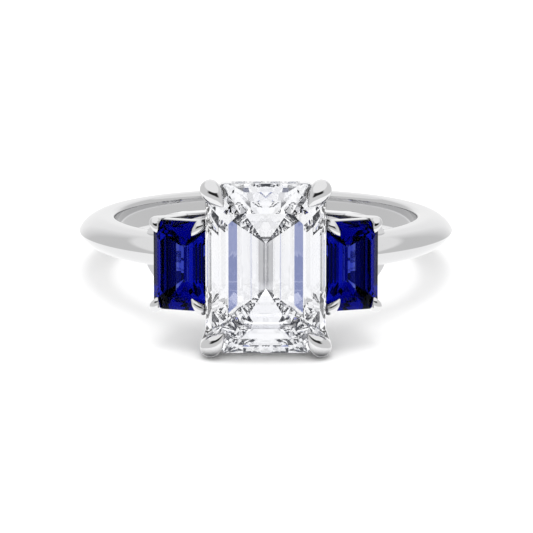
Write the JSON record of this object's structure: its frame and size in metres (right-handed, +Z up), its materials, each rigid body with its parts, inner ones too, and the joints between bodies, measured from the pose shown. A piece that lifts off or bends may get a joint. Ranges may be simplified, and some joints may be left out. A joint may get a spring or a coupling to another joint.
{
  "type": "three stone ring",
  "caption": "Finger ring with a slim ridged band, a clear step cut centre stone in claws and a smaller blue step cut stone on each side, lying on its side.",
  "frame": {"origin": "middle of the bounding box on the surface that the ring lies on", "axes": "the head with the stones faces -Y, the band's far side is at +Y, +X is to the right seen from the front and +Z is up"},
  "size_m": [0.0214, 0.0254, 0.0097],
  "materials": {
    "polished_metal": "mirror polished white metal",
    "clear_stone": "clear, polished flat facets",
    "blue_stone": "deep blue, polished flat facets"
  },
  "bodies": {
    "root": {"mounting": "polished_metal", "center_stone": "clear_stone", "left_side_stone": "blue_stone", "right_side_stone": "blue_stone", "accent_stone_1": "clear_stone", "accent_stone_2": "clear_stone", "accent_stone_3": "clear_stone", "accent_stone_4": "clear_stone", "accent_stone_5": "clear_stone", "accent_stone_6": "clear_stone", "accent_stone_7": "clear_stone", "accent_stone_8": "clear_stone"}
  },
  "joints": []
}
